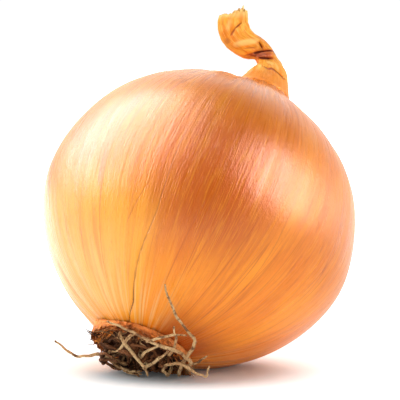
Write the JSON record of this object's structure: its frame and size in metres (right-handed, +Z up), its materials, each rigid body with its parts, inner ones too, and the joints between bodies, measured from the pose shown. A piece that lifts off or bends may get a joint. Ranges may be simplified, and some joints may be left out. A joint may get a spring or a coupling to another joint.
{
  "type": "yellow onion",
  "caption": "Whole dry yellow onion with papery glossy skin, folded dry neck and a tuft of dry roots, lying on its flank.",
  "frame": {"origin": "middle of the small flat spot that the onion rests on, at table level", "axes": "+Z up from the table, -Y the way the roots point, +Y the way the neck points, +X across"},
  "size_m": [0.0804, 0.0776, 0.0907],
  "materials": {
    "onion_skin": "glossy",
    "dry_neck": "satin",
    "dry_root": "matte"
  },
  "bodies": {
    "root": {"bulb": "onion_skin", "neck": "dry_neck", "root_tuft": "dry_root"}
  },
  "joints": []
}
